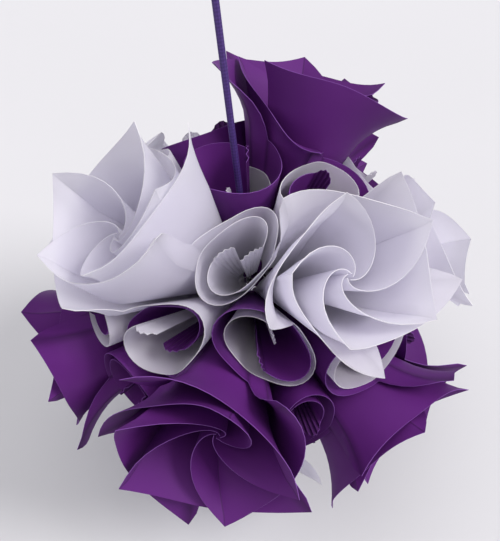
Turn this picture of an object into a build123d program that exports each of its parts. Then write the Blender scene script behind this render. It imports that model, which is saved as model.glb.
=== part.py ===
"""Kusudama paper ball on a cord: sixty folded square sheets make twelve roses, joined by thirty rolled cones.

Millimetres, +Z up. The origin is where a hook holds the top of the cord's loop, and the cord hangs along Z.
"""
import os
from math import cos, exp, radians, sin, sqrt

from build123d import *

# Ball, as radii from its centre
TIP_RADIUS = 95.0
ROSE_MIDDLE_RADIUS = 76.0
MOUTH_RADIUS = 69.0
BASE_RADIUS = 27.0
PAPER = 0.2

# Swirl of a sheet about its rose: turns and tilts from the rose's axis, in degrees
SWIRL_TURN = 313.0
INNER_TIP_TURN = 165.0
OUTER_TIP_TURN = 294.0
MIDDLE_TILT = 0.95
INNER_TIP_TILT = 18.1
OUTER_TIP_TILT = 21.8
WALL_TILT = 19.7
RIM_SAG = 6.5
RIM_SAG_TILT = 1.6
INNER_TILT_POWER = 2.5
INNER_RISE_POWER = 3
SWIRL_POWER = 3

# Half-cone that a sheet is rolled into, about the line between two roses, in degrees
ROLL_TURN = 330.0
CONE_TILT = 12.0
CONE_STRETCH = 0.55
STRETCH_POWER = 4
ROLL_IN = 4.4
ROLL_POWER = 3
MOUTH_DROP = 2.5
PLEATS = [(3.4, 18.0), (6.6, 36.0), (2.8, 56.0)]
PLEAT_DROP = 0.5
FOLDED_BACK = 0.2

# Flat strips between the straight creases of each span of a sheet
INNER_EDGE_STRIPS = 7
RIM_STRIPS = 6
OUTER_EDGE_STRIPS = 2
ROLL_STRIPS = 13

# Cord, which runs from a stopper knot under its cone to a knotted loop
CORD_DIAMETER = 2.5
CORD_LENGTH = 113.0
LOOP_RADIUS = 9.0
KNOT_RADIUS = 4.5
STOPPER_RADIUS = 6.5
STOPPER_GAP = 0.25
KNOT_FLAT_RADIUS = 1.5

# The ball as it hangs: turn of a regular ball, its roses in corner order, and the hand-made shifts of the paper
BALL_TURN = (35.4, -64.9, -65.1)
ROSE_NAMES = [
    "white_rose_1",
    "white_rose_2",
    "purple_rose_1",
    "white_rose_3",
    "white_rose_4",
    "white_rose_5",
    "purple_rose_2",
    "purple_rose_3",
    "purple_rose_4",
    "purple_rose_5",
    "white_rose_6",
    "purple_rose_6",
]
NEIGHBOUR_ANGLE = 70.0
SHIFT_REACH = 30.0
SHIFTS = {
    "white_rose_1": (-8, 0, -4),
    "white_rose_2": (3, -1, -4),
    "purple_rose_1": (12, -4, 2),
    "purple_rose_3": (8, 3, -3),
    "white_rose_3": (0, 5, -5),
    "white_rose_5": (-3, -4, -20),
    "white_rose_1 white_rose_2": (1, 2, 1),
    "white_rose_1 purple_rose_1": (-3, -1, -6),
    "white_rose_2 purple_rose_1": (-5, 4, 8),
    "white_rose_1 purple_rose_3": (16, -8, 2),
}
CORD_CONE = "white_rose_1 purple_rose_3"
SHARED_NODE_ROSE = "purple_rose_6"

LOOP_CENTRE_Z = CORD_DIAMETER / 2 - LOOP_RADIUS
KNOT_Z = LOOP_CENTRE_Z - LOOP_RADIUS - CORD_DIAMETER / 2
CORD_TOP_Z = KNOT_Z - sqrt(KNOT_RADIUS**2 - KNOT_FLAT_RADIUS**2)
CORD_BOTTOM_Z = CORD_TOP_Z - CORD_LENGTH
STOPPER_Z = CORD_BOTTOM_Z - sqrt(STOPPER_RADIUS**2 - KNOT_FLAT_RADIUS**2)
BALL_CENTRE = Vector(0, 0, CORD_BOTTOM_Z + STOPPER_GAP - BASE_RADIUS)


def rose_axes():
    """The twelve rose directions of a regular ball: the corners of an icosahedron, turned as the ball hangs."""
    golden = (1 + sqrt(5)) / 2
    corners = [
        corner
        for a in (1, -1)
        for b in (golden, -golden)
        for corner in ((0, a, b), (a, b, 0), (b, 0, a))
    ]
    turned = [Vector(*corner).normalized() for corner in corners]
    for axis, angle in zip((Axis.Z, Axis.Y, Axis.X), reversed(BALL_TURN)):
        turned = [corner.rotate(axis, angle) for corner in turned]
    return turned


ROSES = dict(zip(ROSE_NAMES, rose_axes()))


def between(names):
    """Direction midway between the roses named: a rose itself, or the cone between two."""
    return sum((ROSES[name] for name in names.split()), Vector()).normalized()


def shifted(direction):
    """Direction of the paper after the hand-made shifts, which fade with the angle from where each acts."""
    moved = direction
    for names, shift in SHIFTS.items():
        weight = exp(-((direction.get_angle(between(names)) / SHIFT_REACH) ** 2))
        moved += Vector(*shift) * (weight / TIP_RADIUS)
    return moved.normalized()


UP = Vector(0, 0, 1)
CORD_CONE_AXIS = shifted(between(CORD_CONE))
LEVEL_AXIS = Axis((0, 0, 0), CORD_CONE_AXIS.cross(UP))
LEVEL_ANGLE = CORD_CONE_AXIS.get_angle(UP)


def placed(direction):
    """Shifted direction on the ball, turned so that the cord's cone points straight up."""
    return shifted(direction).rotate(LEVEL_AXIS, LEVEL_ANGLE)


def polar(axis, towards, tilt, turn):
    """Direction at tilt degrees from axis, turned counterclockwise from towards as seen from outside."""
    east = (towards - axis * axis.dot(towards)).normalized()
    north = axis.cross(east)
    sideways = east * cos(radians(turn)) + north * sin(radians(turn))
    return axis * cos(radians(tilt)) + sideways * sin(radians(tilt))


def mix(start, end, share):
    """Value part of the way from start to end."""
    return start + (end - start) * share


def shares(strips):
    """Shares from 0 to 1 at the creases of evenly spaced strips."""
    return [index / strips for index in range(strips + 1)]


def rose_station(rose, neighbour, turn, rim_tilt, rim_radius):
    """Base direction, rim direction and rim radius where a sheet has swirled by turn about its rose."""
    swirl = sin(radians(90 * turn / SWIRL_TURN)) ** SWIRL_POWER
    base = polar(rose, neighbour, mix(MIDDLE_TILT, WALL_TILT, swirl), turn - SWIRL_TURN)
    rim = polar(rose, neighbour, rim_tilt, turn - SWIRL_TURN)
    return base, rim, rim_radius


def cone_wall(cone, neighbour, tilt, turn):
    """Direction on a cone, whose section is an oval stretched across the line between its two roses."""
    oval = 1 + CONE_STRETCH * sin(radians(turn)) ** STRETCH_POWER
    return polar(cone, neighbour, tilt * oval, turn)


def sheet_stations(rose, neighbour):
    """Stations at the creases of one sheet, from the middle of its rose to the last pleat in its cone."""
    inner_edge = [
        rose_station(
            rose,
            neighbour,
            INNER_TIP_TURN * share,
            mix(MIDDLE_TILT, INNER_TIP_TILT, share**INNER_TILT_POWER),
            mix(ROSE_MIDDLE_RADIUS, TIP_RADIUS, share**INNER_RISE_POWER),
        )
        for share in shares(INNER_EDGE_STRIPS)
    ]
    rim = [
        rose_station(
            rose,
            neighbour,
            mix(INNER_TIP_TURN, OUTER_TIP_TURN, share),
            mix(INNER_TIP_TILT, OUTER_TIP_TILT, share) - 4 * RIM_SAG_TILT * share * (1 - share),
            TIP_RADIUS - 4 * RIM_SAG * share * (1 - share),
        )
        for share in shares(RIM_STRIPS)
    ]
    outer_edge = [
        rose_station(
            rose,
            neighbour,
            mix(OUTER_TIP_TURN, SWIRL_TURN, share),
            mix(OUTER_TIP_TILT, WALL_TILT, share),
            mix(TIP_RADIUS, MOUTH_RADIUS, share),
        )
        for share in shares(OUTER_EDGE_STRIPS)
    ]
    cone = (rose + neighbour).normalized()
    roll = []
    for share in shares(ROLL_STRIPS):
        wall = cone_wall(cone, neighbour, CONE_TILT - ROLL_IN * share**ROLL_POWER, 180 - ROLL_TURN * share)
        roll.append((wall, wall, MOUTH_RADIUS - MOUTH_DROP * share))
    pleats = []
    for number, (tilt, turn) in enumerate(PLEATS, 1):
        fold = cone_wall(cone, neighbour, tilt, 180 - ROLL_TURN - turn)
        pleats.append((fold, fold, MOUTH_RADIUS - MOUTH_DROP - PLEAT_DROP * number))
    return inner_edge + rim[1:] + outer_edge[1:] + roll[1:] + pleats


def across(points):
    """Unit vectors across a row of directions, in the ball's surface."""
    vectors = []
    for index, here in enumerate(points):
        before = points[max(index - 1, 0)]
        after = points[min(index + 1, len(points) - 1)]
        incoming = (here - before).normalized() if index else (after - here).normalized()
        outgoing = (after - here).normalized() if index + 1 < len(points) else incoming
        along = incoming + outgoing
        if along.length < FOLDED_BACK:
            along = incoming
        vectors.append(here.cross(along).normalized())
    return vectors


def facets(here, after):
    """Flat triangles round a strip between two sections of paper, both faces split along the same diagonal."""
    quads = [
        (here[0], after[0], after[1], here[1]),
        (here[1], after[1], after[2], here[2]),
        (here[3], after[3], after[2], here[2]),
        (here[3], after[3], after[0], here[0]),
    ]
    triangles = []
    for first, second, third, fourth in quads:
        triangles += [(first, second, third), (first, third, fourth)]
    return [Face(Wire.make_polygon(triangle)) for triangle in triangles]


def sheet_solid(rose, neighbour):
    """One folded sheet: strips of paper from its base curve up to its rim, joined at straight creases."""
    stations = sheet_stations(rose, neighbour)
    bases = [placed(base) for base, _, _ in stations]
    rims = [placed(rim) for _, rim, _ in stations]
    sections = []
    for station, base, rim, base_side, rim_side in zip(stations, bases, rims, across(bases), across(rims)):
        foot = BALL_CENTRE + base * BASE_RADIUS
        edge = BALL_CENTRE + rim * station[2]
        base_half = base_side * (PAPER / 2)
        rim_half = rim_side * (PAPER / 2)
        sections.append([foot + base_half, edge + rim_half, edge - rim_half, foot - base_half])
    faces = []
    for section, following in zip(sections, sections[1:]):
        faces += facets(section, following)
    for end in (sections[0], sections[-1]):
        faces.append(Face(Wire.make_polygon(end[:3])))
        faces.append(Face(Wire.make_polygon([end[0], end[2], end[3]])))
    return Solid(Shell(faces))


def save(name, solids):
    """Write one node: a solid, or a group of separate solids."""
    shape = solids[0] if len(solids) == 1 else Compound(children=solids)
    export_step(shape, f"parts/{name}.step")


def knot(radius, height):
    """Round knot at a height on the cord, flat where the cord goes in and out."""
    thickness = 2 * sqrt(radius**2 - KNOT_FLAT_RADIUS**2)
    return Pos(0, 0, height) * (Sphere(radius) & Box(2 * radius, 2 * radius, thickness))


def hanging_loop():
    """Loop of cord at the top, with the knot that closes it."""
    loop = Pos(0, 0, LOOP_CENTRE_Z) * Rot(90, 0, 0) * Torus(LOOP_RADIUS, CORD_DIAMETER / 2)
    return (loop + knot(KNOT_RADIUS, KNOT_Z)).solid()


def build():
    """Write every node of the ball."""
    os.makedirs("parts", exist_ok=True)
    for rose_name, rose in ROSES.items():
        neighbours = [other for other in ROSES.values() if 1 < rose.get_angle(other) < NEIGHBOUR_ANGLE]
        solids = [sheet_solid(rose, neighbour) for neighbour in neighbours]
        if rose_name == SHARED_NODE_ROSE:
            save(f"{rose_name}_sheets", solids)
            continue
        for number, solid in enumerate(solids, 1):
            save(f"{rose_name}_sheet_{number}", [solid])
    cord = Pos(0, 0, CORD_BOTTOM_Z + CORD_LENGTH / 2) * Cylinder(CORD_DIAMETER / 2, CORD_LENGTH)
    save("hanging_cord", [cord.solid()])
    save("hanging_loop", [hanging_loop()])
    save("stopper_knot", [knot(STOPPER_RADIUS, STOPPER_Z).solid()])


build()
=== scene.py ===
"""Dresses the kusudama paper ball: curled sheets, tied cord, plain stage and the photograph's camera."""
from math import cos, pi, radians, sin, sqrt

import bpy
import numpy as np
from bpy.props import FloatProperty, FloatVectorProperty, PointerProperty
from mathutils import Matrix, Vector


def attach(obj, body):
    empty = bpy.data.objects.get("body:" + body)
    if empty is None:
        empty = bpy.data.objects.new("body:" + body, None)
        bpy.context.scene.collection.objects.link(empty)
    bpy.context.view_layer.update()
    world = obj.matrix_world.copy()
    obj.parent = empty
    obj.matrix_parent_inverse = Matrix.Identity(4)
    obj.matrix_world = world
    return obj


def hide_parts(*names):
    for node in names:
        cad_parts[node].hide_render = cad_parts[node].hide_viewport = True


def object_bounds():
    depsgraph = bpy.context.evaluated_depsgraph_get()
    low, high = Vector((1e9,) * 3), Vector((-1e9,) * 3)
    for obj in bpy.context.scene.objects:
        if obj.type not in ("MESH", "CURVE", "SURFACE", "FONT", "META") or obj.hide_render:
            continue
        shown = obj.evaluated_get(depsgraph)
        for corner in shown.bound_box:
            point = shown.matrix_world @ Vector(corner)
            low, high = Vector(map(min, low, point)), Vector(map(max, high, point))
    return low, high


bl_info = {
    "name": "Kusudama Paper Ball",
    "version": (1, 0, 0),
    "blender": (4, 5, 0),
    "location": "View3D > Sidebar > Paper Ball",
    "description": "Folds sixty sheets into twelve roses and thirty cones, and hangs the ball on its cord",
    "category": "Object",
}

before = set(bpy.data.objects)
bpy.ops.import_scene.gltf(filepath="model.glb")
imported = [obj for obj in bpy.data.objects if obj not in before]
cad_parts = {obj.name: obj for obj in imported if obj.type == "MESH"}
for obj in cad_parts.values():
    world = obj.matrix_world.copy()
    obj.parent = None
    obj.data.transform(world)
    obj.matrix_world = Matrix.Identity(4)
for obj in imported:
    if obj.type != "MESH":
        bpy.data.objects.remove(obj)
CAD_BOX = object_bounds()
BODY = "root"
MM = 0.001

# The ball: its turn, the roses' colours in the order of their directions, and the hand-made shifts of the
# paper, in mm at the shift radius, which fade over a reach in degrees
BALL_TURN = (35.4, -64.9, -65.1)
ROSE_COLOURS = "white white purple white white white purple purple purple purple white purple".split()
SHIFT_REACH = 30.0
SHIFTS = [
    ((0,), (-8, 0, -4)),
    ((1,), (3, -1, -4)),
    ((2,), (12, -4, 2)),
    ((7,), (8, 3, -3)),
    ((3,), (0, 5, -5)),
    ((5,), (-3, -4, -20)),
    ((0, 1), (1, 2, 1)),
    ((0, 2), (-3, -1, -6)),
    ((1, 2), (-5, 4, 8)),
    ((0, 7), (16, -8, 2)),
]
SHIFT_RADIUS = 95.0
CORD_CONE = (0, 7)
SHARED_ROSE = "purple_rose_6"
OWN_ANGLE = 1.0
NEIGHBOUR_ANGLE = 70.0
SEED_STEP = 100

# Swirl of a sheet about its rose: turns and tilts in degrees, then the powers that shape its edges
SWIRL_TURN = 313.0
INNER_TIP_TURN = 165.0
OUTER_TIP_TURN = 294.0
MIDDLE_TILT = 0.95
INNER_TIP_TILT = 18.1
OUTER_TIP_TILT = 21.8
WALL_TILT = 19.7
RIM_SAG_TILT = 1.6
INNER_TILT_POWER = 2.5
INNER_RISE_POWER = 4
TWIST_POWER = 2
RIM_SAG_POWER = 3
SWIRL_POWER = 3

# Roll of a sheet about a cone and its pleated tab, in degrees; the mouth's fall and the tab's arch are in mm
ROLL_TURN = 330.0
CONE_TILT = 12.0
CONE_STRETCH = 0.55
STRETCH_POWER = 4
ROLL_IN = 4.4
ROLL_POWER = 3
MOUTH_FALL = 2.5
DROP_SHARE = 1 / 6
TAB_END = (-2.2, 2.3)
TAB_ARCH = 3.5
PLEATS = 9
PLEAT_DEPTH = 0.35

# Creases, in degrees of turn, and the valley below an inner tip: radii in metres where it starts and ends
CREASE_WIDTH = 0.8
VALLEY_WIDTH = 6.4
VALLEY_START = 0.04
VALLEY_RISE = 0.02
VALLEY_TOP = 0.094
VALLEY_FADE = 0.01
VALLEY_LEFT = 0.2

# Curls of the tips: widths in degrees of turn, an outer tip's on either side of it, and the radii in metres
# where the curls start, elsewhere and at an inner tip
INNER_CURL_WIDTH = 34
OUTER_CURL_WIDTHS = (42, 9)
CURL_STARTS = (0.072, 0.084)
CURL_START_WIDTH = 45
CURL_POWER = 1.6
SHORTEST_CURL = 0.0001

# Hand-made differences of the tips, in mm, and of their curls, as a share
TIP_UNEVENNESS = 1.5
CURL_UNEVENNESS = 0.3

# Sheets that differ from the rest, in mm: longer or shorter tips, inner then outer, raised rims, lower mouths
TIP_CHANGES = {
    ("purple_rose_1", 1): (3, 3),
    ("purple_rose_1", 2): (3, 3),
    ("purple_rose_1", 3): (4, 4),
    ("purple_rose_1", 4): (4, -6),
    ("purple_rose_1", 5): (3, 3),
    ("purple_rose_2", 4): (0, -15),
    ("purple_rose_3", 1): (3, 3),
    ("purple_rose_3", 2): (0, -14),
    ("purple_rose_3", 3): (4, -2),
    ("purple_rose_3", 4): (4, 4),
    ("purple_rose_3", 5): (4, 4),
    ("white_rose_1", 1): (0, 4),
    ("white_rose_1", 3): (0, -12),
    ("white_rose_1", 4): (0, -9),
    ("white_rose_2", 2): (0, -4),
    ("white_rose_2", 5): (0, -7),
    ("white_rose_3", 1): (-9, -9),
    ("white_rose_3", 2): (0, -28),
    ("white_rose_3", 3): (-14, -5),
    ("white_rose_3", 4): (-4, 0),
    ("white_rose_3", 5): (-5, 0),
    ("white_rose_5", 1): (-6, -6),
    ("white_rose_5", 2): (-6, -6),
    ("white_rose_5", 3): (-6, -20),
    ("white_rose_5", 4): (-14, -6),
    ("white_rose_5", 5): (-14, -22),
}
RIM_LIFTS = {("purple_rose_3", 3): 10}
MOUTH_DROPS = {
    ("purple_rose_1", 1): 6,
    ("white_rose_1", 1): 7,
    ("white_rose_1", 5): 12,
    ("white_rose_2", 1): 7,
    ("white_rose_2", 2): 4,
}

# Roses and sheets that differ from the rest above their cones: how far they open, how far their tips turn
# and their inner tips twist, in degrees, and how far the tips lean up the picture, in mm; then, for all,
# the radii in metres over which this sets in
ROSE_SHAPES = {
    "white_rose_1": (0.82, 0, 14, 7),
    "white_rose_2": (0.9, 0, 26, 0),
    "purple_rose_1": (1.1, 11, 5, 0),
    "purple_rose_3": (1.05, 0, 14, 0),
    ("purple_rose_3", 3): (1.05, 0, -5, 0),
}
PLAIN_ROSE = (1, 0, 14, 0)
OPENING_START = 0.073
OPENING_RISE = 0.022

# Columns of each span of a sheet, from the rose's middle to the last pleat, and rows up its height
INNER_EDGE_COLUMNS = 22
RIM_COLUMNS = 20
OUTER_EDGE_COLUMNS = 6
ROLL_COLUMNS = 44
ROWS = 16
ROW_POWER = 0.85
CORE_ROWS = 3

# Hidden ends of the sheets: those near the cord, by their angle from it in degrees, stop just under the bases
CORD_CLEAR = 32
CORD_FADE = 18
SHORT_END = 0.98

# Cord: half of the loop's outline, across and up, and each knot's size and rise, in mm; then the stopper's
# thickness in cords, and the numbers of points in a knot, of plaits and of strands
LOOP_HALF = [
    (-0.3, -14.6),
    (-0.5, -12.4),
    (-1.2, -10.4),
    (-4.6, -8.4),
    (-8.4, -4.2),
    (-9.5, 0.6),
    (-7.6, 5.6),
    (-3.2, 9.0),
]
LOOP_KNOT = (0.98, 2.2)
STOPPER_KNOT = (1.6, 1.8)
STOPPER_SWELL = 1.3
KNOT_STEPS = 30
CORD_PLAITS = 42
LOOP_PLAITS = 22
STRANDS = 4

# Finishes: noise scales per metre, then how dark or bright a colour's variants are, one of them the painted
# shade in the paper's creases
FIBRE_SCALE = 2600.0
CLOUD_SCALE = 90.0
RIPPLE_SCALE = 38.0
EDGE_FIBRE_SCALE = 1800.0
MOTTLE_SCALE = 6.0
DARK_FIBRES = 0.93
PALE_FIBRES = 1.06
# Painted shade along the creases: the share of the paper's colour left there
CREASE_SHADE_DARKNESS = 0.5
DARK_EDGE = 0.85
DARK_MOTTLE = 0.97
PALE_STRANDS = 1.6
PALE_DUST = 0.006

# Picture: its size and the ball's middle in pixels, and the camera's back and up before the ball hangs level
PICTURE_SIZE = (500, 541)
BALL_MIDDLE = (252.0, 288.35)
CAMERA_BACK = (0, -0.6947, 0.7193)
CAMERA_UP = (0.1219, 0.714, 0.6895)
CAMERA_ROLL = 2.0
SENSOR_WIDTH = 36

# Stage: each lamp's place from the ball, spread in degrees, strength and colour, then the room and the floor
LAMPS = [
    ("Window", (0.68, -0.34, 0.68), 22, 2.15, (1.0, 0.98, 0.98)),
    ("Ceiling", (0.0, -0.3, 1.0), 42, 0.95, (1.0, 0.98, 0.97)),
]
ROOM_COLOUR = (0.95, 0.94, 1.0)
ROOM_LIGHT = 0.52
ROOM_PALER = 0.36
FLOOR_REACH = 4


def length_setting(name, description, default):
    """A length that the user can change."""
    return FloatProperty(
        name=name, description=description, default=default, subtype="DISTANCE", unit="LENGTH"
    )


def height_setting(name, description, default):
    """A height in the frame that the user can change."""
    return FloatProperty(name=name, description=description, default=default, unit="LENGTH")


def colour_setting(name, description, default):
    """A colour that the user can change."""
    return FloatVectorProperty(
        name=name, description=description, default=default, subtype="COLOR", min=0, max=1
    )


class BallSettings(bpy.types.PropertyGroup):
    """Sizes of the folded paper; radii are measured from the ball's centre."""

    centre: FloatVectorProperty(
        name="Centre",
        description="Middle of the ball",
        default=(0, 0, -0.1619926),
        subtype="TRANSLATION",
        unit="LENGTH",
    )
    tip_radius: length_setting("Tip radius", "Ball centre to the petal tips", 0.095)
    middle_radius: length_setting("Middle radius", "Ball centre to a rose's middle", 0.076)
    mouth_radius: length_setting("Mouth radius", "Ball centre to a cone's mouth", 0.069)
    base_radius: length_setting("Base radius", "Ball centre to the glued bases", 0.027)
    core_radius: length_setting("Core radius", "Ball centre to the hidden ends of the sheets", 0.008)
    paper: length_setting("Paper", "Thickness of a sheet", 0.0002)
    rim_sag: length_setting("Rim sag", "Drop of the rim between two tips", 0.0065)
    valley: length_setting("Valley", "Depth of the fold below each inner tip", 0.0012)
    inner_curl: FloatProperty(
        name="Inner tip curl",
        description="Outward curl of the inner tips",
        default=radians(1.5),
        subtype="ANGLE",
    )
    outer_curl: FloatProperty(
        name="Outer tip curl",
        description="Outward curl of the outer tips",
        default=radians(5.2),
        subtype="ANGLE",
    )
    hand: FloatProperty(
        name="Hand",
        description="Unevenness of hand folding, from 0 for none",
        default=1.0,
        min=0,
        max=2,
        subtype="FACTOR",
    )


class PaperSettings(bpy.types.PropertyGroup):
    """Colours of the paper."""

    white: colour_setting("White", "White sheets", (0.93, 0.915, 0.93))
    white_edge: colour_setting("White edge", "Cut edges of the white sheets", (0.8, 0.785, 0.81))
    white_through: colour_setting("White through", "Light through the white sheets", (0.93, 0.92, 0.98))
    purple: colour_setting("Purple", "Purple sheets", (0.118, 0.017, 0.188))
    purple_edge: colour_setting("Purple edge", "Cut edges of the purple sheets", (0.22, 0.07, 0.36))


class CordSettings(bpy.types.PropertyGroup):
    """The cord that the ball hangs on."""

    diameter: length_setting("Diameter", "Thickness of the cord", 0.0025)
    length: length_setting("Length", "Cord between its two knots", 0.113)
    top: height_setting("Top", "Height where the cord meets the loop's knot", -0.0222426)
    knot_height: height_setting("Knot height", "Middle of the loop's knot", -0.018)
    stopper_height: height_setting("Stopper height", "Middle of the stopper knot", -0.141567)
    loop_radius: length_setting("Loop radius", "Middle of the loop to the cord's middle", 0.009)
    colour: colour_setting("Colour", "Dyed cord", (0.038, 0.013, 0.115))


class StageSettings(bpy.types.PropertyGroup):
    """Camera and floor."""

    camera_distance: length_setting("Camera distance", "Ball centre to the camera", 0.38)
    ball_pixels: FloatProperty(
        name="Ball pixels", description="Tip radius in the picture, in its pixels", default=228.0, min=1
    )
    floor_drop: length_setting("Floor drop", "Floor below the ball's lowest tip", 0.03)
    floor_colour: colour_setting("Floor colour", "Plain pale floor", (0.7, 0.7, 0.715))


class Wire:
    """A node's output, used in expressions that add Math nodes."""

    def __init__(self, finish, socket):
        self.finish = finish
        self.socket = socket

    def maths(self, operation, first, second):
        """Add a Math node."""
        return self.finish.node("ShaderNodeMath", {"operation": operation}, {0: first, 1: second})

    def __add__(self, other):
        return self.maths("ADD", self, other)

    __radd__ = __add__

    def __sub__(self, other):
        return self.maths("SUBTRACT", self, other)

    def __rsub__(self, other):
        return self.maths("SUBTRACT", other, self)

    def __mul__(self, other):
        return self.maths("MULTIPLY", self, other)

    __rmul__ = __mul__


class Finish:
    """The nodes of a material or of the world, added one at a time."""

    def __init__(self, owner, shader="Principled BSDF"):
        self.owner = owner
        owner.use_nodes = True
        self.tree = owner.node_tree
        self.shader = self.tree.nodes[shader]

    def node(self, kind, settings=None, sockets=None, output=0):
        """Add a node: its settings are set first, then the values or links of its sockets."""
        added = self.tree.nodes.new(kind)
        for name, value in (settings or {}).items():
            setattr(added, name, value)
        for name, value in (sockets or {}).items():
            self.set_socket(added.inputs[name], value)
        return Wire(self, added.outputs[output])

    def set_socket(self, socket, value):
        """Link a socket, or set its value."""
        if isinstance(value, Wire):
            self.tree.links.new(value.socket, socket)
        elif socket.type == "RGBA":
            socket.default_value = (*value, 1)
        else:
            socket.default_value = value

    def surface(self, **sockets):
        """Feed the shader's sockets; underscores in a name stand for spaces."""
        for name, value in sockets.items():
            self.set_socket(self.shader.inputs[name.replace("_", " ")], value)

    def place(self, output="Object"):
        """Coordinates of a point on the piece."""
        return self.node("ShaderNodeTexCoord", output=output)

    def mix(self, share, first, second):
        """Colour part of the way from first to second."""
        return self.node("ShaderNodeMix", {"data_type": "RGBA"}, {0: share, 6: first, 7: second}, 2)

    def noise(self, where, scale, detail=2.0):
        """Cloudy value from 0 to 1."""
        return self.node("ShaderNodeTexNoise", None, {"Vector": where, "Scale": scale, "Detail": detail})

    def raise_by(self, height, strength, distance):
        """Bump the surface."""
        sockets = {"Strength": strength, "Distance": distance, "Height": height}
        self.surface(Normal=self.node("ShaderNodeBump", None, sockets))

    def glow_through(self, colour, share):
        """Let part of the light pass through the paper."""
        through = self.node("ShaderNodeBsdfTranslucent", None, {"Color": colour})
        surface = Wire(self, self.shader.outputs["BSDF"])
        blend = self.node("ShaderNodeMixShader", None, {0: share, 1: surface, 2: through})
        self.set_socket(self.tree.nodes["Material Output"].inputs["Surface"], blend)


def shade(colour, brightness):
    """A darker or brighter colour."""
    return tuple(min(1, brightness * channel) for channel in colour)


def paper_finish(name, colour, through, gloss, glow, crease_shading):
    """Matte dyed paper: fine fibres, faint clouding, and painted shade that darkens the creases."""
    finish = Finish(bpy.data.materials.new(name))
    where = finish.place()
    crease = finish.node("ShaderNodeAttribute", {"attribute_name": "crease"}, output="Fac")
    fibres = finish.noise(where, FIBRE_SCALE, detail=3.0)
    clouds = finish.noise(where, CLOUD_SCALE)
    ripples = finish.noise(where, RIPPLE_SCALE, detail=1.0)
    mottle = clouds * 0.5 + fibres * 0.5
    tone = finish.mix(mottle, shade(colour, DARK_FIBRES), shade(colour, PALE_FIBRES))
    # Painted shade: the creases are darkened towards a darker copy of the colour, by the paper's last share
    finish.surface(
        Base_Color=finish.mix(crease * crease_shading, tone, shade(colour, CREASE_SHADE_DARKNESS)),
        Roughness=gloss + fibres * 0.16,
        Specular_IOR_Level=0.25,
    )
    height = ripples * 0.8 + fibres * 0.05 + crease * 0.25
    finish.raise_by(height, strength=0.35, distance=0.0012)
    finish.glow_through(through, glow)
    return finish.owner


def cut_edge_finish(name, colour):
    """Cut edge of a sheet, where the paper's paler core shows."""
    finish = Finish(bpy.data.materials.new(name))
    fibres = finish.noise(finish.place(), EDGE_FIBRE_SCALE)
    finish.surface(
        Base_Color=finish.mix(fibres, shade(colour, DARK_EDGE), colour),
        Roughness=0.7 + fibres * 0.2,
    )
    return finish.owner


def cord_finish(name, colour, plaits):
    """Dyed plaited cord: two sets of strands that wind opposite ways, in the curve's own coordinates."""
    finish = Finish(bpy.data.materials.new(name))
    where = finish.place("UV")
    along = finish.node("ShaderNodeSeparateXYZ", None, {0: where}, "X") * (plaits * 2 * pi)
    around = finish.node("ShaderNodeSeparateXYZ", None, {0: where}, "Y") * (STRANDS * 2 * pi)
    right = finish.node("ShaderNodeMath", {"operation": "SINE"}, {0: along + around})
    left = finish.node("ShaderNodeMath", {"operation": "SINE"}, {0: along - around})
    weave = right * left * 0.5 + 0.5
    pale = tuple(min(1, PALE_STRANDS * channel + PALE_DUST) for channel in colour)
    finish.surface(Base_Color=finish.mix(weave, colour, pale), Roughness=0.72 - weave * 0.16)
    finish.raise_by(weave, strength=0.5, distance=0.0003)
    return finish.owner


def floor_finish(name, colour):
    """Plain pale floor with a faint mottling."""
    finish = Finish(bpy.data.materials.new(name))
    mottle = finish.noise(finish.place(), MOTTLE_SCALE)
    finish.surface(
        Base_Color=finish.mix(mottle, shade(colour, DARK_MOTTLE), colour),
        Roughness=0.9,
        Specular_IOR_Level=0.1,
    )
    return finish.owner


def turn_matrix(angle, axis):
    """Turn by an angle in degrees about an axis, as an array."""
    return np.array(Matrix.Rotation(radians(angle), 3, axis))


def unit(vectors):
    """Vectors scaled to length 1."""
    return vectors / np.linalg.norm(vectors, axis=-1, keepdims=True)


def rose_axes():
    """The twelve rose directions of a regular ball: an icosahedron's corners, turned as the ball hangs."""
    golden = (1 + sqrt(5)) / 2
    corners = [
        corner
        for a in (1, -1)
        for b in (golden, -golden)
        for corner in ((0, a, b), (a, b, 0), (b, 0, a))
    ]
    turn_x, turn_y, turn_z = (turn_matrix(angle, axis) for angle, axis in zip(BALL_TURN, "XYZ"))
    return unit(np.array(corners, float)) @ (turn_x @ turn_y @ turn_z).T


ROSES = rose_axes()
SHIFT_POINTS = np.array([unit(ROSES[list(indices)].sum(axis=0)) for indices, _ in SHIFTS])
SHIFT_MOVES = np.array([move for _, move in SHIFTS], float) / SHIFT_RADIUS


def shifted(directions):
    """Directions of the paper after the hand-made shifts, which fade with the angle from where each acts."""
    angles = np.degrees(np.arccos(np.clip(directions @ SHIFT_POINTS.T, -1, 1)))
    return unit(directions + np.exp(-((angles / SHIFT_REACH) ** 2)) @ SHIFT_MOVES)


def level_matrix():
    """Turn that points the cord's cone straight up."""
    cone = Vector(shifted(unit(ROSES[list(CORD_CONE)].sum(axis=0))))
    return np.array(cone.rotation_difference(Vector((0, 0, 1))).to_matrix())


LEVEL = level_matrix()
PICTURE_BACK = LEVEL @ np.array(CAMERA_BACK)
PICTURE_UP = turn_matrix(CAMERA_ROLL, Vector(PICTURE_BACK)) @ LEVEL @ np.array(CAMERA_UP)


def placed(directions):
    """Shifted directions on the ball as it hangs."""
    return shifted(directions) @ LEVEL.T


def polar(axis, towards, tilt, turn):
    """Directions tilted from axis and turned counterclockwise from towards, seen from outside, in degrees."""
    east = unit(towards - axis * (axis @ towards))
    north = np.cross(axis, east)
    tilt = np.radians(np.broadcast_to(tilt, np.shape(turn)))[:, None]
    turn = np.radians(turn)[:, None]
    return axis * np.cos(tilt) + (east * np.cos(turn) + north * np.sin(turn)) * np.sin(tilt)


def mix(start, end, share):
    """Value part of the way from start to end."""
    return start + (end - start) * share


def ramp(value, start, rise):
    """Rise from 0 to 1 as a value grows from start by rise."""
    return np.clip((value - start) / rise, 0, 1)


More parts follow.
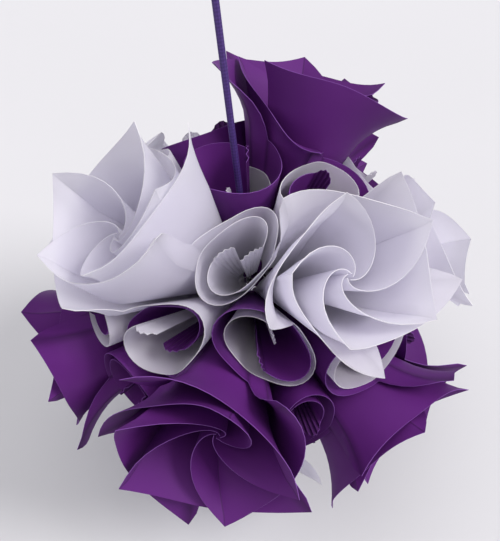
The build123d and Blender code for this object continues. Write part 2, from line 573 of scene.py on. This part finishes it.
def bell(distance, width):
    """Weight that falls from 1 to 0 with distance."""
    return np.exp(-((distance / width) ** 2))


def oval(turn):
    """Stretch of a cone's section across the line between its two roses."""
    return 1 + CONE_STRETCH * np.sin(np.radians(turn)) ** STRETCH_POWER


class Sheet:
    """One sheet in columns from its rose's middle to the last pleat, each a line from its base to its rim."""

    def __init__(self, ball, key, rose, neighbour, random):
        self.ball = ball
        self.key = key
        self.rose = rose
        self.neighbour = neighbour
        self.random = random
        shape = ROSE_SHAPES.get(key, ROSE_SHAPES.get(key[0], PLAIN_ROSE))
        self.bloom, self.spin, self.twist, self.rise = shape
        self.spans = []
        self.add_swirl()
        self.add_roll()

    def uneven(self, spread):
        """One hand-made difference."""
        return self.ball.hand * spread * self.random.uniform(-1, 1)

    def add_span(self, base, rim, radius, crease, curl=0.0, curl_from=0.0, valley=0.0):
        """Add columns; curl is the outward lean at the rim, which starts at the radius curl_from."""
        count = len(base)
        spread = [np.broadcast_to(value, count) for value in (radius, crease, curl, curl_from, valley)]
        self.spans.append((base, rim, *spread))

    def add_swirl(self):
        """Inner edge, rim and outer edge, which wind about the rose."""
        ball = self.ball
        rise = np.linspace(0, 1, INNER_EDGE_COLUMNS, endpoint=False)
        rise = np.append(rise, 1 - CREASE_WIDTH / INNER_TIP_TURN)
        rim = np.linspace(0, 1, RIM_COLUMNS, endpoint=False)
        rim = np.insert(rim, 1, CREASE_WIDTH / (OUTER_TIP_TURN - INNER_TIP_TURN))
        fall = np.linspace(0, 1, OUTER_EDGE_COLUMNS, endpoint=False)
        turn = np.concatenate([
            mix(0, INNER_TIP_TURN, rise),
            mix(INNER_TIP_TURN, OUTER_TIP_TURN, rim),
            mix(OUTER_TIP_TURN, SWIRL_TURN, fall),
        ])
        inner_change, outer_change = TIP_CHANGES.get(self.key, (0, 0))
        inner_top = ball.tip_radius + inner_change * MM + self.uneven(TIP_UNEVENNESS * MM)
        outer_top = ball.tip_radius + outer_change * MM + self.uneven(TIP_UNEVENNESS * MM)
        arch = 4 * rim * (1 - rim)
        sag = 1 - np.abs(2 * rim - 1) ** RIM_SAG_POWER
        lift = RIM_LIFTS.get(self.key, 0) * MM
        tilt = np.concatenate([
            mix(MIDDLE_TILT, INNER_TIP_TILT, rise**INNER_TILT_POWER),
            mix(INNER_TIP_TILT, OUTER_TIP_TILT, rim) - RIM_SAG_TILT * arch,
            mix(OUTER_TIP_TILT, WALL_TILT, fall),
        ])
        radius = np.concatenate([
            mix(ball.middle_radius, inner_top, rise**INNER_RISE_POWER),
            mix(inner_top, outer_top, rim) - ball.rim_sag * sag + lift * arch,
            mix(outer_top, ball.mouth_radius, fall),
        ])
        twist = self.twist * np.concatenate([rise**TWIST_POWER, 1 - rim, 0 * fall])
        from_inner = turn - INNER_TIP_TURN
        from_outer = turn - OUTER_TIP_TURN
        inner_curl = ball.inner_curl * (1 + self.uneven(CURL_UNEVENNESS)) * bell(from_inner, INNER_CURL_WIDTH)
        outer_width = np.where(from_outer < 0, *OUTER_CURL_WIDTHS)
        outer_curl = ball.outer_curl * (1 + self.uneven(CURL_UNEVENNESS)) * bell(from_outer, outer_width)
        curl_from = mix(*CURL_STARTS, bell(from_inner, CURL_START_WIDTH))
        swirl = np.sin(np.radians(90 * turn / SWIRL_TURN)) ** SWIRL_POWER
        base = polar(self.rose, self.neighbour, mix(MIDDLE_TILT, WALL_TILT, swirl), turn - SWIRL_TURN)
        rim_directions = polar(self.rose, self.neighbour, tilt, turn + twist - SWIRL_TURN)
        crease = np.maximum(from_inner == 0, from_outer == 0)
        valley = ball.valley * np.clip(1 - np.abs(from_inner) / VALLEY_WIDTH, 0, 1)
        self.add_span(base, rim_directions, radius, crease, inner_curl + outer_curl, curl_from, valley)

    def add_roll(self):
        """Roll round the cone between two roses, and the pleated tab that locks it."""
        ball = self.ball
        cone = unit(self.rose + self.neighbour)
        share = np.linspace(0, 1, ROLL_COLUMNS)
        turn = 180 - ROLL_TURN * share
        wall = polar(cone, self.neighbour, (CONE_TILT - ROLL_IN * share**ROLL_POWER) * oval(turn), turn)
        lowered = MOUTH_DROPS.get(self.key, 0) * ramp(share, 0, DROP_SHARE)
        self.add_span(wall, wall, ball.mouth_radius - (MOUTH_FALL * share + lowered) * MM, share == 0)
        end = radians(180 - ROLL_TURN)
        start = (CONE_TILT - ROLL_IN) * oval(turn[-1]) * np.array((cos(end), sin(end)))
        part = np.arange(1, PLEATS + 1) / PLEATS
        along = np.array(TAB_END) - start
        zigzag = PLEAT_DEPTH * np.where(np.arange(PLEATS) % 2, 1, -1)
        across = np.outer(zigzag, (-along[1], along[0])) / np.hypot(*along)
        tab_x, tab_y = (mix(start, np.array(TAB_END), part[:, None]) + across).T
        tab = polar(cone, self.neighbour, np.hypot(tab_x, tab_y), np.degrees(np.arctan2(tab_y, tab_x)))
        rises = TAB_ARCH * np.sin(pi * part) - MOUTH_FALL - lowered[-1]
        self.add_span(tab, tab, ball.mouth_radius + rises * MM, part > 0)

    def straight_points(self, base, edge):
        """Rows of points from the hidden ends to the bases, and straight on up to the rim's edge."""
        ball = self.ball
        from_cord = np.degrees(np.arccos(base[:, 2]))
        core = mix(SHORT_END * ball.base_radius, ball.core_radius, ramp(from_cord, CORD_CLEAR, CORD_FADE))
        depth = np.linspace(1, 0, CORE_ROWS, endpoint=False)[:, None]
        ends = base * mix(ball.base_radius, core, depth)[..., None]
        height = np.linspace(0, 1, ROWS)[:, None, None] ** ROW_POWER
        return np.concatenate([ends, mix(base * ball.base_radius, edge, height)])

    def points(self):
        """Rows of points from the hidden ends up to the curled rim, and which columns are creases."""
        spans = (np.concatenate(parts) for parts in zip(*self.spans))
        base, rim, radius, crease, curl, curl_from, valley = spans
        points = self.straight_points(placed(base), placed(rim) * radius[:, None])
        reach = np.linalg.norm(points, axis=-1)
        directions = points / reach[..., None]
        axis = placed(self.rose)
        nearness = directions @ axis
        opening = ramp(reach, OPENING_START, OPENING_RISE)
        fade = np.clip((VALLEY_TOP - reach) / VALLEY_FADE, VALLEY_LEFT, 1)
        lean = curl * ramp(reach, curl_from, np.maximum(radius - curl_from, SHORTEST_CURL)) ** CURL_POWER
        lean = lean + valley / reach * ramp(reach, VALLEY_START, VALLEY_RISE) * fade
        lean = lean + (self.bloom - 1) * np.arccos(nearness) * opening
        outward = unit(directions * nearness[..., None] - axis)
        directions = directions * np.cos(lean)[..., None] + outward * np.sin(lean)[..., None]
        spin = np.radians(self.spin) * opening[..., None]
        along = axis * (directions @ axis)[..., None]
        directions = along + (directions - along) * np.cos(spin) + np.cross(axis, directions) * np.sin(spin)
        moved = directions * reach[..., None] + PICTURE_UP * (self.rise * MM * opening[..., None])
        return np.array(self.ball.centre) + moved, crease

    def mesh(self, name):
        """Both faces of the sheet and its cut edge, with crisp folds at the creases."""
        points, crease = self.points()
        rows, columns = points.shape[:2]
        count = rows * columns
        faces = unit(np.cross(points[1:, 1:] - points[:-1, :-1], points[1:, :-1] - points[:-1, 1:]))
        faces = np.pad(faces, ((1, 1), (1, 1), (0, 0)), mode="edge")
        across = unit(faces[1:, 1:] + faces[1:, :-1] + faces[:-1, 1:] + faces[:-1, :-1])
        reach = np.linalg.norm(points - np.array(self.ball.centre), axis=-1)
        across *= self.ball.paper / 2 * np.clip(reach / self.ball.base_radius, 0, 1)[..., None]
        index = np.arange(count).reshape(rows, columns)
        corners = [index[:-1, :-1], index[:-1, 1:], index[1:, 1:], index[1:, :-1]]
        front = np.stack(corners, axis=-1).reshape(-1, 4)
        border = np.concatenate([index[0, :-1], index[:-1, -1], index[-1, :0:-1], index[:0:-1, 0]])
        following = np.roll(border, -1)
        cut = np.stack([following, border, border + count, following + count], axis=-1)
        mesh = bpy.data.meshes.new(name)
        vertices = np.concatenate([points + across, points - across]).reshape(-1, 3)
        quads = np.concatenate([front, front[:, ::-1] + count, cut])
        mesh.from_pydata(vertices.tolist(), [], quads.tolist())
        mesh.shade_smooth()
        finishes = np.zeros(len(quads), np.int32)
        finishes[-len(cut):] = 1
        mesh.polygons.foreach_set("material_index", finishes)
        self.sharpen(mesh, crease, rows, columns)
        return mesh

    def sharpen(self, mesh, crease, rows, columns):
        """Mark the sheet's cut edge and its creases as sharp, and store the creases for the finish, which
        bumps them and paints shade along them.
        """
        ends = np.zeros(2 * len(mesh.edges), np.int32)
        mesh.edges.foreach_get("vertices", ends)
        side, place = np.divmod(ends.reshape(-1, 2).T, rows * columns)
        row, column = np.divmod(place, columns)
        along = row[0] == row[1]
        up = column[0] == column[1]
        edge_row = along & ((row[0] == 0) | (row[0] == rows - 1))
        edge_column = up & ((column[0] == 0) | (column[0] == columns - 1))
        folded = up & crease[column[0]]
        through = (side[0] != side[1]) & (crease[column[0]] | (edge_row & edge_column))
        sharp = np.where(side[0] == side[1], edge_row | edge_column | folded, through)
        mesh.attributes.new("sharp_edge", "BOOLEAN", "EDGE").data.foreach_set("value", sharp)
        weights = np.tile(crease.astype(np.float32), 2 * rows)
        mesh.attributes.new("crease", "FLOAT", "POINT").data.foreach_set("value", weights)


def add_piece(name, data, slot, *materials):
    """Object that rides on the ball, with its finishes; its slot argument is not used."""
    piece = bpy.data.objects.new(name, data)
    bpy.context.scene.collection.objects.link(piece)
    for material in materials:
        piece.data.materials.append(material)
    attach(piece, BODY)
    return piece


def fold_roses(colour, paper, edge):
    """Fold every sheet of the roses of one colour, each in the place of its node."""
    ball = bpy.context.scene.paper_ball
    number = 0
    for index, rose in enumerate(ROSES):
        if ROSE_COLOURS[index] != colour:
            continue
        number += 1
        rose_name = f"{colour}_rose_{number}"
        angles = np.degrees(np.arccos(np.clip(ROSES @ rose, -1, 1)))
        neighbours = [other for other, angle in zip(ROSES, angles) if OWN_ANGLE < angle < NEIGHBOUR_ANGLE]
        for sheet_number, neighbour in enumerate(neighbours, 1):
            random = np.random.default_rng(SEED_STEP * index + sheet_number)
            name = f"{rose_name}_paper_{sheet_number}"
            sheet = Sheet(ball, (rose_name, sheet_number), rose, neighbour, random)
            piece = add_piece(name, sheet.mesh(name), f"{colour}_paper", paper, edge)
            node = f"{rose_name}_sheets" if rose_name == SHARED_ROSE else f"{rose_name}_sheet_{sheet_number}"
            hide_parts(node)


def smooth_curve(name, points, diameter, cyclic=False):
    """Round cord along a smooth line with these control points."""
    curve = bpy.data.curves.new(name, "CURVE")
    curve.dimensions = "3D"
    curve.bevel_depth = diameter / 2
    curve.bevel_resolution = 5
    curve.resolution_u = 10
    curve.use_fill_caps = True
    spline = curve.splines.new("NURBS")
    spline.points.add(len(points) - 1)
    for point, place in zip(spline.points, points):
        point.co = (*place, 1)
    spline.order_u = 3
    spline.use_cyclic_u = cyclic
    spline.use_endpoint_u = not cyclic
    return curve


def tied_knot(name, height, shape, diameter):
    """Tight overhand knot about the cord, which winds twice round and three times up and down."""
    size, rise = (value * MM for value in shape)
    places = []
    for step in range(KNOT_STEPS):
        turn = 2 * pi * step / KNOT_STEPS
        across = size * (sin(turn) + 2 * sin(2 * turn))
        deep = size * (cos(turn) - 2 * cos(2 * turn))
        places.append((across, deep, height - rise * sin(3 * turn)))
    return smooth_curve(name, places, diameter, True)


class BALL_OT_set_stage(bpy.types.Operator):
    """Set the camera, the lamps and the pale floor"""

    bl_idname = "paper_ball.set_stage"
    bl_label = "Set stage"

    def execute(self, context):
        self.add_camera(context)
        self.add_lamps(context)
        self.add_room(context)
        self.add_floor(context)
        context.scene.view_settings.view_transform = "Standard"
        return {"FINISHED"}

    def add_camera(self, context):
        """Look at the ball as the photograph does, with the ball in the same place of the picture."""
        ball = context.scene.paper_ball
        stage = context.scene.paper_ball_stage
        width, height = PICTURE_SIZE
        middle_x, middle_y = BALL_MIDDLE
        right = np.cross(PICTURE_UP, PICTURE_BACK)
        camera = bpy.data.cameras.new("Camera")
        camera.sensor_fit = "HORIZONTAL"
        camera.sensor_width = SENSOR_WIDTH
        camera.lens = SENSOR_WIDTH * stage.camera_distance / (width * ball.tip_radius / stage.ball_pixels)
        camera.shift_x = (width / 2 - middle_x) / width
        camera.shift_y = (middle_y - height / 2) / width
        camera.clip_start = 0.01
        holder = bpy.data.objects.new("Camera", camera)
        context.scene.collection.objects.link(holder)
        turn = Matrix((right, PICTURE_UP, PICTURE_BACK)).transposed().to_4x4()
        place = Vector(ball.centre) + Vector(PICTURE_BACK) * stage.camera_distance
        holder.matrix_world = Matrix.Translation(place) @ turn
        context.scene.camera = holder

    def add_lamps(self, context):
        """Wide, even lamps that face the ball."""
        middle = Vector(context.scene.paper_ball.centre)
        for name, offset, spread, strength, colour in LAMPS:
            lamp = bpy.data.lights.new(name, "SUN")
            lamp.energy = strength
            lamp.angle = radians(spread)
            lamp.color = colour
            holder = bpy.data.objects.new(name, lamp)
            context.scene.collection.objects.link(holder)
            holder.location = middle + Vector(offset)
            holder.rotation_euler = Vector(offset).to_track_quat("Z", "Y").to_euler()

    def add_room(self, context):
        """Even light from all round; what is seen past the floor is as pale as the floor."""
        room = Finish(bpy.data.worlds.new("Pale room"), "Background")
        context.scene.world = room.owner
        seen = room.node("ShaderNodeLightPath", output="Is Camera Ray")
        for ray in ("Is Glossy Ray", "Is Transmission Ray"):
            seen = seen.maths("MAXIMUM", seen, room.node("ShaderNodeLightPath", output=ray))
        seen = seen * (1 - room.node("ShaderNodeLightPath", output="Is Diffuse Ray"))
        room.surface(Color=ROOM_COLOUR, Strength=ROOM_LIGHT + seen * ROOM_PALER)

    def add_floor(self, context):
        """Wide floor below the ball."""
        stage = context.scene.paper_ball_stage
        height = CAD_BOX[0].z - stage.floor_drop
        mesh = bpy.data.meshes.new("Floor")
        signs = [(-1, -1), (1, -1), (1, 1), (-1, 1)]
        corners = [(x * FLOOR_REACH, y * FLOOR_REACH, height) for x, y in signs]
        mesh.from_pydata(corners, [], [(0, 1, 2, 3)])
        floor = bpy.data.objects.new("Floor", mesh)
        context.scene.collection.objects.link(floor)
        mesh.materials.append(floor_finish("Pale floor", stage.floor_colour))


class BALL_OT_hang_cord(bpy.types.Operator):
    """Hang the cord with its loop, its knot and the stopper knot under its cone"""

    bl_idname = "paper_ball.hang_cord"
    bl_label = "Hang cord"

    def execute(self, context):
        cord = context.scene.paper_ball_cord
        slot = "purple_cord"
        long_plait = cord_finish("Plaited cord", cord.colour, CORD_PLAITS)
        short_plait = cord_finish("Plaited loop", cord.colour, LOOP_PLAITS)
        loop_middle = cord.diameter / 2 - cord.loop_radius
        outline = LOOP_HALF + [(-across, rise) for across, rise in reversed(LOOP_HALF)]
        places = [(across * MM, 0, loop_middle + rise * MM) for across, rise in outline]
        loop = add_piece("cord_loop", smooth_curve("cord_loop", places, cord.diameter), slot, short_plait)
        knot_line = tied_knot("loop_knot", cord.knot_height, LOOP_KNOT, cord.diameter)
        knot = add_piece("loop_knot", knot_line, slot, short_plait)
        stopper_line = tied_knot("stopper", cord.stopper_height, STOPPER_KNOT, STOPPER_SWELL * cord.diameter)
        stopper = add_piece("stopper", stopper_line, slot, short_plait)
        bottom = cord.top - cord.length
        line = [(0, 0, bottom), (0, 0, bottom + cord.length / 2), (0, 0, cord.top)]
        hanging = add_piece("cord", smooth_curve("cord", line, cord.diameter), slot, long_plait)
        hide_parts("hanging_cord")
        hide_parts("hanging_loop")
        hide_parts("hanging_loop")
        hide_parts("stopper_knot")
        return {"FINISHED"}


class BALL_OT_fold_white_roses(bpy.types.Operator):
    """Fold the thirty white sheets"""

    bl_idname = "paper_ball.fold_white_roses"
    bl_label = "Fold white roses"

    def execute(self, context):
        colours = context.scene.paper_ball_colours
        # The last share is how far painted shade darkens the creases of the white paper
        paper = paper_finish(
            "White paper", colours.white, colours.white_through, gloss=0.62, glow=0.7, crease_shading=0.3
        )
        fold_roses("white", paper, cut_edge_finish("White cut edge", colours.white_edge))
        return {"FINISHED"}


class BALL_OT_fold_purple_roses(bpy.types.Operator):
    """Fold the thirty purple sheets"""

    bl_idname = "paper_ball.fold_purple_roses"
    bl_label = "Fold purple roses"

    def execute(self, context):
        colours = context.scene.paper_ball_colours
        # The last share is how far painted shade darkens the creases of the purple paper
        paper = paper_finish(
            "Purple paper", colours.purple, colours.purple, gloss=0.55, glow=0.12, crease_shading=0.9
        )
        fold_roses("purple", paper, cut_edge_finish("Purple cut edge", colours.purple_edge))
        return {"FINISHED"}


class BALL_PT_panel(bpy.types.Panel):
    """Shows a button for each step that makes the ball"""

    bl_idname = "BALL_PT_panel"
    bl_label = "Paper Ball"
    bl_space_type = "VIEW_3D"
    bl_region_type = "UI"
    bl_category = "Paper Ball"

    def draw(self, context):
        for operator in OPERATORS:
            self.layout.operator(operator.bl_idname)


OPERATORS = (BALL_OT_set_stage, BALL_OT_hang_cord, BALL_OT_fold_white_roses, BALL_OT_fold_purple_roses)
SETTINGS = {
    "paper_ball": BallSettings,
    "paper_ball_colours": PaperSettings,
    "paper_ball_cord": CordSettings,
    "paper_ball_stage": StageSettings,
}
CLASSES = (*SETTINGS.values(), *OPERATORS, BALL_PT_panel)


def register():
    """Register the classes and give the scene their settings."""
    for cls in CLASSES:
        bpy.utils.register_class(cls)
    for name, group in SETTINGS.items():
        setattr(bpy.types.Scene, name, PointerProperty(type=group))


def unregister():
    """Take the settings and the classes away again."""
    for name in SETTINGS:
        delattr(bpy.types.Scene, name)
    for cls in reversed(CLASSES):
        bpy.utils.unregister_class(cls)


def main():
    """Set the stage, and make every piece."""
    register()
    bpy.ops.paper_ball.set_stage()
    bpy.ops.paper_ball.hang_cord()
    bpy.ops.paper_ball.fold_white_roses()
    bpy.ops.paper_ball.fold_purple_roses()


if __name__ == "__main__":
    main()
